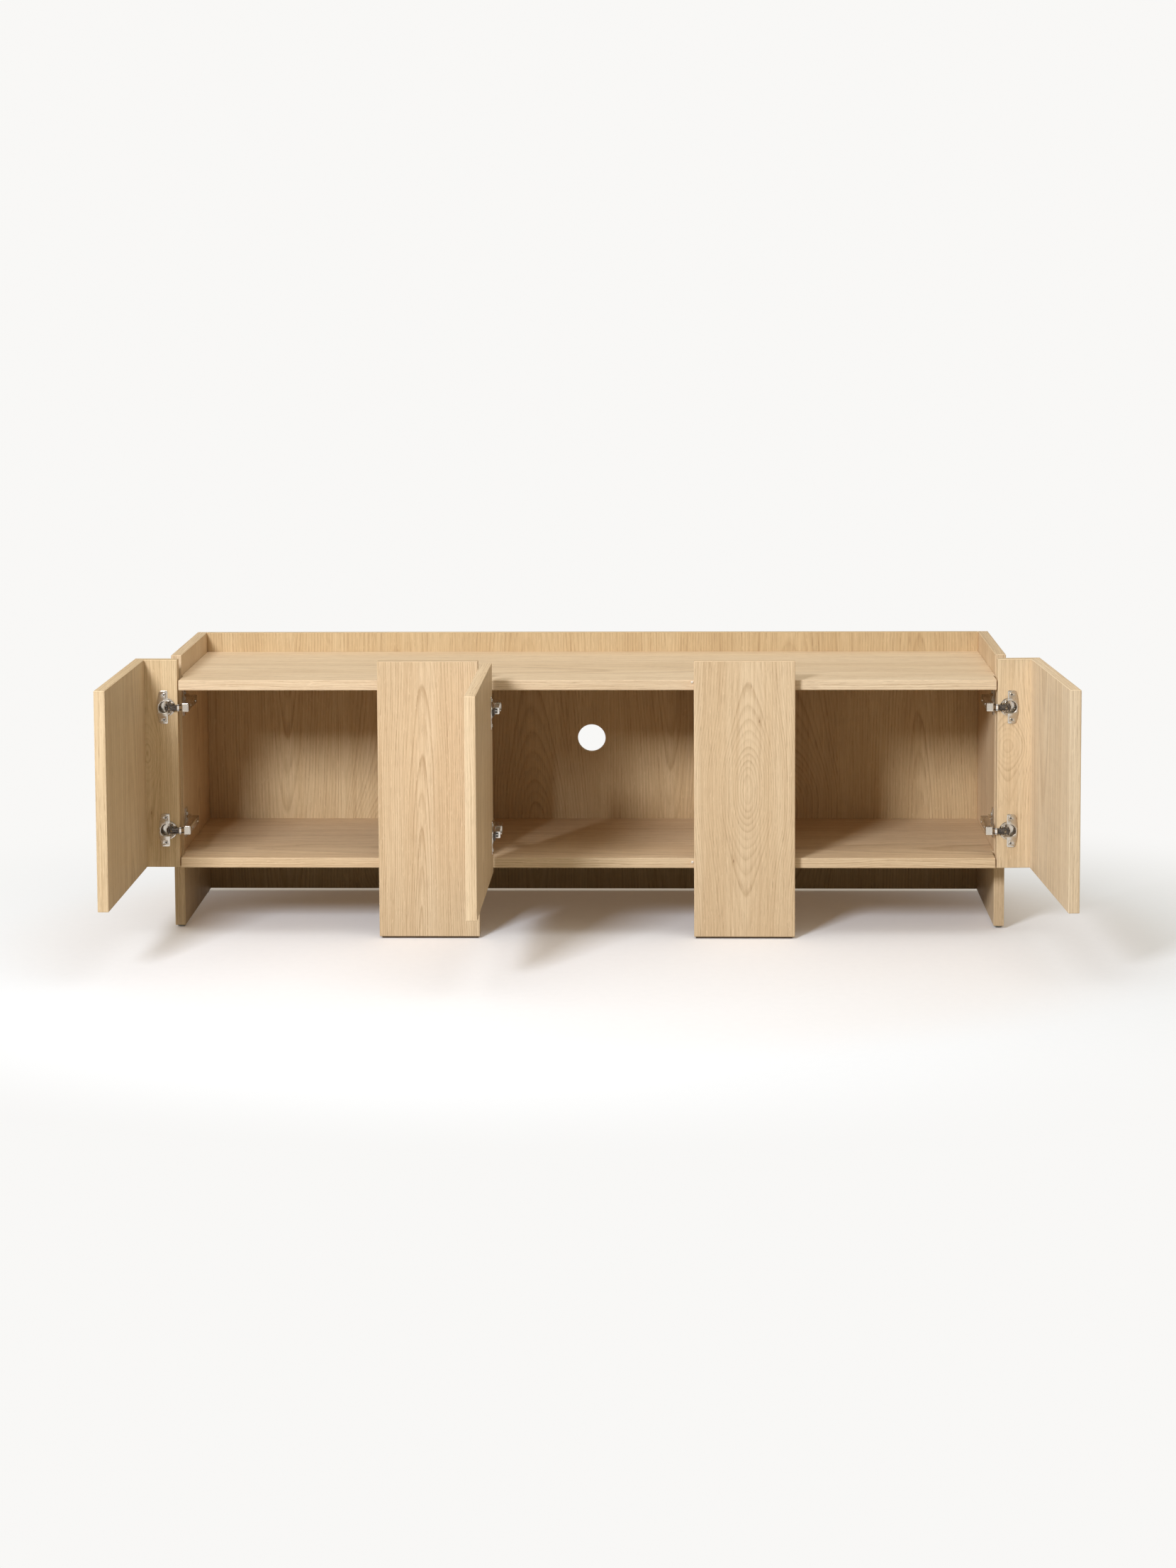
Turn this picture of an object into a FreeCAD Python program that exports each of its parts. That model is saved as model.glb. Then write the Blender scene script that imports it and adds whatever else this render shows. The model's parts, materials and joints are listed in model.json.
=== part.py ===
"""Media cabinet: oak carcass with two fixed front posts, one inset middle door and
two L-shaped corner doors that carry part of the cabinet's side with them.

Axes: X to the cabinet's right, Y from the front plane to the back, Z up from the
floor.  X = 0 is the middle of the cabinet and Y = 0 the face of the closed fronts.
The doors are placed in their open rest pose by the link geometry below.
"""
import FreeCAD, Part
import Sketcher
import os

V = FreeCAD.Vector
doc = FreeCAD.newDocument("media_cabinet")
dims = doc.addObject("Spreadsheet::Sheet", "dims")
nodes = []


# ---------------------------------------------------------------- dimensions
def cells(start, rows):
    """Write (alias, value or formula) rows into the sheet from row `start`."""
    for i, (alias, value) in enumerate(rows):
        line = str(start + i)
        dims.set("A" + line, alias)
        dims.set("B" + line, value)
        dims.setAlias("B" + line, alias)


cells(1, [
    ("width", "1600"), ("height", "532"), ("depth", "420"),
    ("side_thick", "20"), ("door_thick", "20"), ("board_thick", "19"),
    ("back_thick", "12"), ("post_thick", "22"), ("divider_thick", "19"),
    ("ease", "1.2"),
    ("side_front", "87"), ("board_front", "22"), ("tongue_gap", "4"),
    ("floor_clear", "132"), ("rim", "39"),
    ("post_inner", "204"), ("post_outer", "395"),
    ("side_lift", "5"), ("post_lift", "4"), ("back_lift", "6"),
    ("cable_hole", "56"), ("cable_height", "316"),
    ("door_gap", "2"), ("return_len", "83"),
    ("hinge_low", "204"), ("hinge_high", "441"),
    ("left_open", "90.5"), ("right_open", "93.5"), ("middle_open", "90.75"),
    ("divider_shy", "10"),
])
cells(40, [
    ("cup_dia", "35"), ("cup_depth", "11.5"), ("cup_inset", "22"),
    ("bore_gap", "0.15"), ("flange_tall", "63"), ("flange_wide", "19"),
    ("flange_thick", "1.2"), ("dish_tall", "23"), ("screw_pitch", "48"),
    ("screw_shift", "5.5"), ("pin_inset", "21"), ("pin_stand", "4"),
    ("pin_dia", "2.6"), ("pin_gap", "0.06"), ("ear_wide", "5.2"),
    ("link_len", "35.84"), ("link_shut", "109.2"), ("link_gear", "0.881"),
    ("link_wide", "4.4"), ("link_sheet", "1.4"), ("link_half", "5.2"),
    ("arm_wide", "14"), ("arm_tall", "16"), ("arm_long", "112"), ("arm_wall", "1.4"),
    ("arm_off", "7.5"), ("arm_front", "22.5"),
    ("plate_tall", "56"), ("plate_long", "17"), ("plate_thick", "3"),
    ("plate_y", "98"), ("rail_long", "42"), ("rail_tall", "18"),
    ("wood_screw", "3.5"), ("wood_screw_long", "14"), ("head_dia", "7"),
    ("head_tall", "1.6"),
    ("middle_x", "-176"), ("middle_y", "-17"),
    ("crank_x", "28"), ("crank_y", "60"), ("middle_arm_front", "28"),
    ("swing_wide", "9"), ("swing_reach", "46.5"), ("swing_x", "35"), ("swing_y", "32"),
])
cells(90, [
    ("half", "=width / 2"), ("inner_half", "=width / 2 - side_thick"),
    ("door_tall", "=height - floor_clear"),
    ("top_board_z", "=height - rim - board_thick"),
    ("bay_floor", "=floor_clear + board_thick"),
    ("back_front", "=depth - back_thick"),
    ("middle_wide", "=2 * post_inner - 2 * door_gap"),
    ("front_wide", "=half - post_outer - door_gap"),
    ("low_local", "=hinge_low - floor_clear"), ("high_local", "=hinge_high - floor_clear"),
    # arm pin of a corner hinge, one link away from the knuckle pin of the closed door
    ("link_pin_in", "=pin_stand - link_len * cos(link_shut)"),
    ("link_pin_y", "=return_len - pin_inset - link_len * sin(link_shut)"),
    ("arm_pin_x", "=link_pin_in - inner_half"),
    # open poses: link angle, knuckle pin, then the return panel's inner back edge
    ("left_link", "=link_shut + link_gear * left_open"),
    ("right_link", "=link_shut + link_gear * right_open"),
    ("left_pin_x", "=arm_pin_x + link_len * cos(left_link)"),
    ("left_pin_y", "=link_pin_y + link_len * sin(left_link)"),
    ("right_pin_x", "=-arm_pin_x - link_len * cos(right_link)"),
    ("right_pin_y", "=link_pin_y + link_len * sin(right_link)"),
    ("left_x", "=left_pin_x - pin_stand * cos(left_open) + pin_inset * sin(left_open)"),
    ("left_y", "=left_pin_y + pin_stand * sin(left_open) + pin_inset * cos(left_open)"),
    ("right_x", "=right_pin_x + pin_stand * cos(right_open) - pin_inset * sin(right_open)"),
    ("right_y", "=right_pin_y + pin_stand * sin(right_open) + pin_inset * cos(right_open)"),
])
doc.recompute()


# ------------------------------------------------------------------- helpers
def bind(obj, **cell):
    """Bind properties to sheet expressions; x, y, z and turn drive the placement."""
    paths = {"x": ".Placement.Base.x", "y": ".Placement.Base.y",
             "z": ".Placement.Base.z", "turn": ".Placement.Rotation.Angle"}
    for key, text in cell.items():
        obj.setExpression(paths.get(key, key), text)
    return obj


def d(text):
    """Prefix every alias in a formula with the sheet's name."""
    out, word = "", ""
    for ch in text + " ":
        if ch.isalnum() or ch == "_":
            word += ch
            continue
        is_name = word and word[0].isalpha() and word not in ("sin", "cos")
        out += ("dims." + word if is_name else word) + ch
        word = ""
    return out.strip()


def outline(name, points):
    """A closed polygon sketch on XY whose corners are driven by formulas."""
    sketch = doc.addObject("Sketcher::SketchObject", name)
    seed = [V(400 + 7 * i, 300 + 5 * i * i, 0) for i in range(len(points))]
    for i, at in enumerate(seed):
        sketch.addGeometry(Part.LineSegment(at, seed[(i + 1) % len(seed)]), False)
    for i in range(len(points)):
        sketch.addConstraint(Sketcher.Constraint(
            "Coincident", i, 2, (i + 1) % len(points), 1))
    for i, (px, py) in enumerate(points):
        for kind, at, text in (("DistanceX", seed[i].x, px), ("DistanceY", seed[i].y, py)):
            index = sketch.addConstraint(Sketcher.Constraint(kind, -1, 1, i, 1, at))
            sketch.setExpression("Constraints[%d]" % index, d(text))
    return sketch


def panel(name, points, tall, sharp=()):
    """PartDesign body: padded outline with eased edges.

    Edges whose two ends both lie near one of the `sharp` corner indices stay square.
    """
    body = doc.addObject("PartDesign::Body", name)
    sketch = outline(name + "_outline", points)
    body.addObject(sketch)
    pad = body.newObject("PartDesign::Pad", name + "_pad")
    pad.Profile = sketch
    pad.setExpression("Length", d(tall))
    doc.recompute()
    corners = [sketch.getPoint(i, 1) for i in sharp]
    picked = []
    for i, edge in enumerate(pad.Shape.Edges):
        ends = [v.Point for v in edge.Vertexes]
        near = [any(abs(p.x - c.x) < 0.01 and abs(p.y - c.y) < 0.01 for c in corners)
                for p in ends]
        if not all(near):
            picked.append("Edge%d" % (i + 1))
    round_over = body.newObject("PartDesign::Fillet", name + "_ease")
    round_over.Base = (pad, picked)
    round_over.setExpression("Radius", d("ease"))
    doc.recompute()
    return body


def prism(name, points, tall, z="0"):
    """Extruded outline for hardware."""
    solid = doc.addObject("Part::Extrusion", name)
    solid.Base = outline(name + "_outline", points)
    solid.DirMode = "Custom"
    solid.Dir = V(0, 0, 1)
    solid.Solid = True
    bind(solid, LengthFwd=d(tall), z=d(z))
    return solid


def box(name, x, y, z, long, wide, tall):
    """Part box from formulas."""
    solid = doc.addObject("Part::Box", name)
    return bind(solid, x=d(x), y=d(y), z=d(z), Length=d(long), Width=d(wide), Height=d(tall))


TURNS = {"x": (V(0, 1, 0), 90), "-x": (V(0, 1, 0), -90), "y": (V(1, 0, 0), -90),
         "-y": (V(1, 0, 0), 90), "z": (V(0, 0, 1), 0)}


def rod(name, x, y, z, dia, long, along="z"):
    """Part cylinder of a diameter, starting at a point and running along an axis."""
    solid = doc.addObject("Part::Cylinder", name)
    axis, angle = TURNS[along]
    solid.Placement = FreeCAD.Placement(V(), FreeCAD.Rotation(axis, angle))
    return bind(solid, x=d(x), y=d(y), z=d(z), Radius=d("(%s) / 2" % dia), Height=d(long))


def cone(name, x, y, z, dia, dia_end, long, along="z"):
    """Part cone, for countersunk heads."""
    solid = doc.addObject("Part::Cone", name)
    axis, angle = TURNS[along]
    solid.Placement = FreeCAD.Placement(V(), FreeCAD.Rotation(axis, angle))
    return bind(solid, x=d(x), y=d(y), z=d(z), Radius1=d("(%s) / 2" % dia),
                Radius2=d("(%s) / 2" % dia_end), Height=d(long))


def fuse(name, shapes):
    out = doc.addObject("Part::MultiFuse", name)
    out.Shapes = shapes
    out.Refine = True
    return out


def cut(name, base, tools):
    out = doc.addObject("Part::Cut", name)
    out.Base = base
    out.Tool = tools[0] if len(tools) == 1 else fuse(name + "_tools", tools)
    return out


def common(name, shapes):
    out = doc.addObject("Part::MultiCommon", name)
    out.Shapes = shapes
    return out


def group(name, shapes):
    out = doc.addObject("Part::Compound", name)
    out.Links = shapes
    return out


def spun(obj, quarter=None):
    """Turn a finished piece about Z ('left' faces) or over about Y ('right' faces)."""
    turns = {"z": (V(0, 0, 1), 90), "y": (V(0, 1, 0), 180), None: (V(0, 0, 1), 0)}
    axis, angle = turns[quarter]
    obj.Placement = FreeCAD.Placement(V(), FreeCAD.Rotation(axis, angle))
    return obj


def node(label, obj, x=None, y=None, z=None, turn=None, way=1):
    """Name a finished sub-part, place it, and list it for export."""
    obj.Label = label
    if turn is not None:
        obj.Placement = FreeCAD.Placement(V(), FreeCAD.Rotation(V(0, 0, way), 10))
        bind(obj, turn=d(turn))
    for key, text in (("x", x), ("y", y), ("z", z)):
        if text is not None:
            bind(obj, **{key: d(text)})
    nodes.append(obj)
    return obj


# ------------------------------------------------------------------- carcass
for hand, at in (("left", "-half"), ("right", "inner_half")):
    side = panel("side_" + hand, [("0", "0"), ("side_thick", "0"),
                                  ("side_thick", "depth - side_front"),
                                  ("0", "depth - side_front")], "height - side_lift")
    node("side_panel_" + hand, side, x=at, y="side_front", z="side_lift")

back = panel("back", [("0", "0"), ("2 * inner_half", "0"), ("2 * inner_half", "back_thick"),
                      ("0", "back_thick")], "height - back_lift")
hole = rod("cable_bore", "inner_half", "-1", "cable_height - back_lift", "cable_hole",
           "back_thick + 2", "y")
node("back_panel", cut("back_bored", back, [hole]), x="-inner_half", y="back_front",
     z="back_lift")

for label, z in (("top_board", "top_board_z"), ("bottom_board", "floor_clear")):
    tongue = "side_front - board_front"
    run = "back_front - board_front"
    far = "2 * inner_half - tongue_gap"
    board = panel(label + "_body", [
        ("tongue_gap", "0"), (far, "0"), (far, tongue + " + 0.5"),
        ("2 * inner_half", tongue + " + 0.5"), ("2 * inner_half", run), ("0", run),
        ("0", tongue + " + 0.5"), ("tongue_gap", tongue + " + 0.5")], "board_thick")
    node(label, board, x="-inner_half", y="board_front", z=z)

post_wide = "post_outer - post_inner"
for hand, at in (("left", "-post_outer"), ("right", "post_inner")):
    post = panel("post_" + hand, [("0", "0"), (post_wide, "0"), (post_wide, "post_thick"),
                                  ("0", "post_thick")], "height - post_lift")
    node("front_post_" + hand, post, x=at, z="post_lift")

for hand, at in (("left", "-post_inner - divider_thick"), ("right", "post_inner + divider_shy")):
    wall = panel("divider_" + hand, [("0", "0"), ("divider_thick", "0"),
                                     ("divider_thick", "back_front - board_front"),
                                     ("0", "back_front - board_front")],
                 "top_board_z - bay_floor")
    node("divider_" + hand, wall, x=at, y="board_front", z="bay_floor")

pads = []
for hand, at in (("left", "-half + side_thick / 2"), ("right", "half - side_thick / 2")):
    for spot, y in (("front", "side_front + 16"), ("rear", "depth - 24")):
        pads.append(rod("glide_%s_%s" % (hand, spot), at, y, "0", "16", "side_lift"))
node("side_glides", group("side_glide_set", pads))
pads = [box("post_pad_" + hand, at, "4", "0", post_wide + " - 8", "post_thick - 7", "post_lift")
        for hand, at in (("left", "-post_outer + 5"), ("right", "post_inner + 3"))]
node("post_pads", group("post_pad_set", pads))

screws = []
for i in range(6):
    x = "-inner_half + 60 + %d * (2 * inner_half - 120) / 5" % i
    for level, z in (("low", "floor_clear + board_thick / 2"),
                     ("high", "top_board_z + board_thick / 2")):
        tag = "back_screw_%s_%d" % (level, i)
        shank = rod(tag + "_shank", x, "depth - 32", z, "4", "31.5", "y")
        head = cone(tag + "_head", x, "depth - 3", z, "4", "8", "2.8", "y")
        screws.append(fuse(tag, [shank, head]))
node("back_screws", group("back_screw_set", screws))

dots = [rod("bumper_" + level, "post_inner - 3", "board_front", z, "5", "1.8", "-y")
        for level, z in (("low", "floor_clear + board_thick * 0.6"),
                         ("high", "top_board_z + board_thick * 0.8"))]
node("door_bumpers", group("bumper_set", dots))


# -------------------------------------------------------------------- hinges
def cup(tag, x, y, z, quarter):
    """Hinge cup: flange, drawn cup, dish and two ears.

    Built with its centre on the door face, facing +X with the hinge edge towards +Y.
    """
    ear_y = "cup_inset - pin_inset"
    body = rod(tag + "_drum", "-cup_depth", "0", "0", "cup_dia", "cup_depth + flange_thick", "x")
    ears_flat = prism(tag + "_plate", [
        ("-flange_tall / 2", "2"), ("-flange_tall / 2 + 3", "-flange_wide * 0.55"),
        ("-flange_tall * 0.3", "-flange_wide * 0.86"), ("0", "-flange_wide"),
        ("flange_tall * 0.3", "-flange_wide * 0.86"),
        ("flange_tall / 2 - 3", "-flange_wide * 0.55"), ("flange_tall / 2", "2"),
        ("flange_tall / 2 - 2", "4"), ("-flange_tall / 2 + 2", "4")], "flange_thick")
    # the outline is drawn with its long side on X, then stood up along Z
    stand = FreeCAD.Rotation(V(0, 1, 0), 90)
    ears_flat.Placement = FreeCAD.Placement(V(), stand)
    ears_flat.setExpression(".Placement.Base.z", None)
    dish = box(tag + "_dish", "-cup_depth + 1.2", "-cup_dia / 2 + 1.6", "-dish_tall / 2",
               "cup_depth + 4", "cup_dia - 3.2", "dish_tall")
    round_dish = rod(tag + "_dish_round", "-cup_depth + 1.2", "0", "0", "cup_dia - 3",
                     "cup_depth + 4", "x")
    holes = []
    for side, spot in (("up", "screw_pitch / 2"), ("down", "-screw_pitch / 2")):
        holes.append(rod("%s_hole_%s" % (tag, side), "-2", "-screw_shift", spot,
                         "wood_screw + 0.4", "5", "x"))
    shell = cut(tag + "_shell", fuse(tag + "_blank", [body, ears_flat]),
                [common(tag + "_hollow", [dish, round_dish])] + holes)
    parts = [shell]
    for side, spot in (("up", "link_half + 0.35"), ("down", "-link_half - 0.35 - 1.6")):
        ear = box("%s_ear_%s" % (tag, side), "-cup_depth + 1", ear_y + " - ear_wide / 2", spot,
                  "cup_depth - 1 + pin_stand + 2.4", "ear_wide", "1.6")
        bore = rod("%s_eye_%s" % (tag, side), "pin_stand", ear_y, spot, "pin_dia + 2 * pin_gap",
                   "1.6")
        parts.append(cut("%s_eared_%s" % (tag, side), ear, [bore]))
    whole = spun(fuse(tag, parts), quarter)
    return bind(whole, x=d(x), y=d(y), z=d(z))


def cup_screws(tag, x, y, z, quarter):
    """Two countersunk wood screws of one cup, in the cup's own frame."""
    pair = []
    for side, spot in (("up", "screw_pitch / 2"), ("down", "-screw_pitch / 2")):
        name = "%s_%s" % (tag, side)
        shank = rod(name + "_shank", "-wood_screw_long", "-screw_shift", spot, "wood_screw",
                    "wood_screw_long + flange_thick + 0.2", "x")
        head = rod(name + "_head", "flange_thick", "-screw_shift", spot, "head_dia",
                   "head_tall", "x")
        slot = [box(name + "_slot_a", "flange_thick + 0.8", "-screw_shift - 2", spot + " - 0.35",
                    "2", "4", "0.7"),
                box(name + "_slot_b", "flange_thick + 0.8", "-screw_shift - 0.35", spot + " - 2",
                    "2", "0.7", "4")]
        pair.append(cut(name, fuse(name + "_solid", [shank, head]), slot))
    whole = spun(group(tag, pair), quarter)
    return bind(whole, x=d(x), y=d(y), z=d(z))


def link_pair(tag, z, bend=1):
    """Two dog-leg link plates from the arm pin at the origin to the knuckle pin on +X.

    The bend, to +Y or with bend=-1 to -Y, carries the plates clear of the return
    panel's edge when the door is open.
    """
    plates = []
    path = [("0", "-link_wide / 2"), ("link_len * 0.2", "-1.9"), ("link_len * 0.36", "3"),
            ("link_len * 0.52", "3.3"), ("link_len - 1.2", "-1.9"), ("link_len + 0.6", "2"),
            ("link_len * 0.62", "6.3"), ("link_len * 0.32", "7.6"), ("link_len * 0.19", "2.6"),
            ("0", "link_wide / 2")]
    path = [(x, "%d * (%s)" % (bend, y)) for x, y in path]
    for side, spot in (("up", "link_half - link_sheet"), ("down", "-link_half")):
        name = "%s_%s" % (tag, side)
        bar = prism(name + "_bar", path, "link_sheet", z=spot)
        ends = [rod(name + "_end_%d" % i, at, "0", spot, "link_wide", "link_sheet")
                for i, at in enumerate(("0", "link_len"))]
        bores = [rod(name + "_bore_%d" % i, at, "0", spot, "pin_dia", "link_sheet")
                 for i, at in enumerate(("0", "link_len"))]
        plates.append(cut(name, fuse(name + "_solid", [bar] + ends), bores))
    web = box(tag + "_web", "link_len * 0.4", "%d * 4.9 - 1.3" % bend, "-link_half", "3", "2.6",
              "2 * link_half")
    return bind(fuse(tag, plates + [web]), z=d(z))


def arm(tag, x, z, quarter):
    """Straight hinge arm: a channel open towards the side panel, on its sliding foot.

    Origin on the panel face at the front plane, standing off towards +X.
    """
    outer = box(tag + "_outer", "arm_off", "arm_front", "-arm_tall / 2", "arm_wide",
                "arm_long", "arm_tall")
    inner = box(tag + "_inner", "arm_off - 1", "arm_front + arm_wall", "-arm_tall / 2 + arm_wall",
                "arm_wide - arm_wall + 1", "arm_long - 2 * arm_wall", "arm_tall - 2 * arm_wall")
    eye = rod(tag + "_eye", "link_pin_in", "link_pin_y", "-arm_tall", "pin_dia + 2 * pin_gap",
              "2 * arm_tall")
    taper = box(tag + "_taper", "arm_off - 1", "arm_front - 1", "-arm_tall", "3", "68",
                "2 * arm_tall")
    shell = cut(tag + "_shell", outer, [inner, eye, taper])
    foot = box(tag + "_foot", "arm_off - 1.5", "plate_y + 1", "-arm_tall / 2 + arm_wall - 0.2",
               "arm_wide + 1", "arm_long - 78", "arm_tall - 2 * arm_wall + 0.4")
    whole = spun(fuse(tag, [shell, foot]), quarter)
    return bind(whole, x=d(x), z=d(z))


def wing_plate(tag, x, z, quarter, y="0"):
    """Wing mounting plate with its raised rail, on the face at X = 0."""
    wing = box(tag + "_wing", "0", "plate_y", "-plate_tall / 2", "plate_thick", "plate_long",
               "plate_tall")
    rail = box(tag + "_rail", "0", "plate_y", "-rail_tall / 2", "arm_off - 1.5", "rail_long",
               "rail_tall")
    holes = [rod("%s_hole_%s" % (tag, side), "-1", "plate_y + plate_long / 2", spot,
                 "wood_screw + 0.4", "6", "x")
             for side, spot in (("up", "16"), ("down", "-16"))]
    whole = spun(cut(tag, fuse(tag + "_solid", [wing, rail]), holes), quarter)
    return bind(whole, x=d(x), y=d(y), z=d(z))


def plate_screws(tag, x, z, quarter, y="0"):
    """Two pan-head screws of one mounting plate."""
    pair = []
    for side, spot in (("up", "16"), ("down", "-16")):
        name = "%s_%s" % (tag, side)
        shank = rod(name + "_shank", "-wood_screw_long", "plate_y + plate_long / 2", spot,
                    "wood_screw", "wood_screw_long + plate_thick + 0.2", "x")
        head = rod(name + "_head", "plate_thick", "plate_y + plate_long / 2", spot, "head_dia",
                   "2", "x")
        slot = box(name + "_slot", "plate_thick + 1", "plate_y + plate_long / 2 - 0.4",
                   spot + " - 2.2", "2", "0.8", "4.4")
        pair.append(cut(name, fuse(name + "_solid", [shank, head]), [slot]))
    whole = spun(group(tag, pair), quarter)
    return bind(whole, x=d(x), y=d(y), z=d(z))


LEVELS = (("low", "hinge_low", "low_local"), ("high", "hinge_high", "high_local"))

# -------------------------------------------------------------- corner doors
for hand, s in (("left", ""), ("right", "-")):
    # local origin: the return panel's inner back edge, with the closed fronts square to it
    def mx(text, s=s):
        return s + "(" + text + ")" if s else text

    place = dict(x=hand + "_x", y=hand + "_y", z="floor_clear", turn=hand + "_open",
                 way=-1 if hand == "left" else 1)
    face = "-return_len + door_thick"
    corner = (mx("-door_thick"), "-return_len")
    front = panel(hand + "_front", [
        corner, (mx("front_wide - door_thick"), "-return_len"),
        (mx("front_wide - door_thick"), face), (mx("0"), face)], "door_tall", sharp=(0, 3))
    node(hand + "_door_front", front, **place)

    skin = panel(hand + "_return", [(mx("0"), "0"), (mx("-door_thick"), "0"), corner,
                                    (mx("0"), face)], "door_tall", sharp=(2, 3))
    out = "x" if hand == "left" else "-x"
    bores = [rod("%s_cup_bore_%s" % (hand, level), mx("-cup_depth - bore_gap"), "-cup_inset",
                 local, "cup_dia + 2 * bore_gap", "cup_depth + 5", out)
             for level, _, local in LEVELS]
    node(hand + "_door_return", cut(hand + "_return_bored", skin, bores), **place)

    flip = None if hand == "left" else "y"
    cups = [cup("%s_cup_%s" % (hand, level), "0", "-cup_inset", local, flip)
            for level, _, local in LEVELS]
    node(hand + "_hinge_cups", group(hand + "_cup_set", cups), **place)
    fixings = [cup_screws("%s_cup_screw_%s" % (hand, level), "0", "-cup_inset", local, flip)
               for level, _, local in LEVELS]
    node(hand + "_cup_screws", group(hand + "_cup_screw_set", fixings), **place)

    swing = dict(x=mx("arm_pin_x"), y="link_pin_y",
                 turn=hand + "_link" if hand == "left" else "180 - right_link", way=1)
    links = [link_pair("%s_link_%s" % (hand, level), height, 1 if hand == "left" else -1)
             for level, height, _ in LEVELS]
    node(hand + "_hinge_links", group(hand + "_link_set", links), **swing)
    pins = []
    for level, height, _ in LEVELS:
        pins.append(rod("%s_arm_pin_%s" % (hand, level), "0", "0",
                        height + " - arm_tall / 2 - 0.6", "pin_dia", "arm_tall + 1.2"))
        pins.append(rod("%s_knuckle_pin_%s" % (hand, level), "link_len", "0",
                        height + " - link_half - 2.4", "pin_dia", "2 * link_half + 4.8"))
    node(hand + "_link_pins", group(hand + "_pin_set", pins), **swing)

    at = mx("-inner_half")
    arms = [arm("%s_arm_%s" % (hand, level), at, height, flip) for level, height, _ in LEVELS]
    node(hand + "_hinge_arms", group(hand + "_arm_set", arms))
    plates = [wing_plate("%s_plate_%s" % (hand, level), at, height, flip)
              for level, height, _ in LEVELS]
    node(hand + "_mounting_plates", group(hand + "_plate_set", plates))
    fixings = [plate_screws("%s_plate_screw_%s" % (hand, level), at, height, flip)
               for level, height, _ in LEVELS]
    node(hand + "_plate_screws", group(hand + "_plate_screw_set", fixings))

# --------------------------------------------------------------- middle door
place = dict(x="middle_x", y="middle_y", z="floor_clear", turn="middle_open", way=-1)
leaf = panel("middle_leaf", [("0", "-door_thick"), ("middle_wide", "-door_thick"),
                             ("middle_wide", "0"), ("0", "0")], "door_tall")
bores = [rod("middle_cup_bore_" + level, "cup_inset", "-cup_depth - bore_gap", local,
             "cup_dia + 2 * bore_gap", "cup_depth + 5", "y") for level, _, local in LEVELS]
node("middle_door", cut("middle_leaf_bored", leaf, bores), **place)
cups = [cup("middle_cup_" + level, "cup_inset", "0", local, "z") for level, _, local in LEVELS]
node("middle_hinge_cups", group("middle_cup_set", cups), **place)
fixings = [cup_screws("middle_cup_screw_" + level, "cup_inset", "0", local, "z")
           for level, _, local in LEVELS]
node("middle_cup_screws", group("middle_cup_screw_set", fixings), **place)


def knuckle(tag, z):
    """Closed inset knuckle between the ears of a cup on the middle door."""
    tall = "2 * link_half"
    block = box(tag + "_block", "3.2", "pin_stand - link_wide / 2", "-link_half",
                "pin_inset - 3.2", "link_wide", tall)
    nose = rod(tag + "_nose", "pin_inset", "pin_stand", "-link_half", "link_wide", tall)
    bore = rod(tag + "_bore", "pin_inset", "pin_stand", "-link_half", "pin_dia", tall)
    return bind(cut(tag, fuse(tag + "_solid", [block, nose]), [bore]), z=d(z))


links = [knuckle("middle_knuckle_" + level, local) for level, _, local in LEVELS]
node("middle_hinge_links", group("middle_link_set", links), **place)
pins = [rod("middle_pin_" + level, "pin_inset", "pin_stand", local + " - link_half - 2.4",
            "pin_dia", "2 * link_half + 4.8") for level, _, local in LEVELS]
node("middle_link_pins", group("middle_pin_set", pins), **place)


def cranked_arm(tag, z):
    """Inset arm: steps out from its foot so that its tip stands behind the cup."""
    tip = "crank_x + arm_wide"
    solid = prism(tag + "_profile", [
        ("crank_x", "middle_arm_front"), (tip, "middle_arm_front"),
        (tip, "crank_y"), ("arm_off + arm_wide", "crank_y + 22"),
        ("arm_off + arm_wide", "plate_y + rail_long"), ("arm_off - 1.5", "plate_y + rail_long"),
        ("arm_off - 1.5", "crank_y + 20"), ("crank_x", "crank_y - 4")],
        "arm_tall", z="-arm_tall / 2")
    throat = box(tag + "_throat", "crank_x - 2", "middle_arm_front - 2", "-link_half - 0.6",
                 "arm_wide + 4", "swing_y - middle_arm_front + swing_wide / 2 + 3.5",
                 "2 * link_half + 1.2")
    eye = rod(tag + "_eye", "swing_x", "swing_y", "-arm_tall", "pin_dia + 2 * pin_gap",
              "2 * arm_tall")
    return bind(cut(tag, solid, [throat, eye]), x=d("-post_inner"), z=d(z))


def swing_bar(tag, z):
    """Outer link of the inset hinge, from its pin at the origin forward to the knuckle."""
    bar = box(tag + "_bar", "-swing_wide / 2", "-swing_reach", "-link_half", "swing_wide",
              "swing_reach", "2 * link_half")
    tail = rod(tag + "_tail", "0", "0", "-link_half", "swing_wide", "2 * link_half")
    relief = box(tag + "_relief", "-swing_wide / 2 + 1.5", "-swing_reach + 3", "-link_half + 1.4",
                 "swing_wide", "swing_reach - 9", "2 * link_half - 2.8")
    bore = rod(tag + "_bore", "0", "0", "-link_half", "pin_dia", "2 * link_half")
    return bind(cut(tag, fuse(tag + "_solid", [bar, tail]), [relief, bore]), z=d(z))


swing = dict(x="swing_x - post_inner", y="swing_y")
bars = [swing_bar("middle_swing_" + level, height) for level, height, _ in LEVELS]
node("middle_swing_links", group("middle_swing_set", bars), **swing)
pins = [rod("middle_swing_pin_" + level, "0", "0", height + " - arm_tall / 2 - 0.6", "pin_dia",
            "arm_tall + 1.2") for level, height, _ in LEVELS]
node("middle_swing_pins", group("middle_swing_pin_set", pins), **swing)


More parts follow.
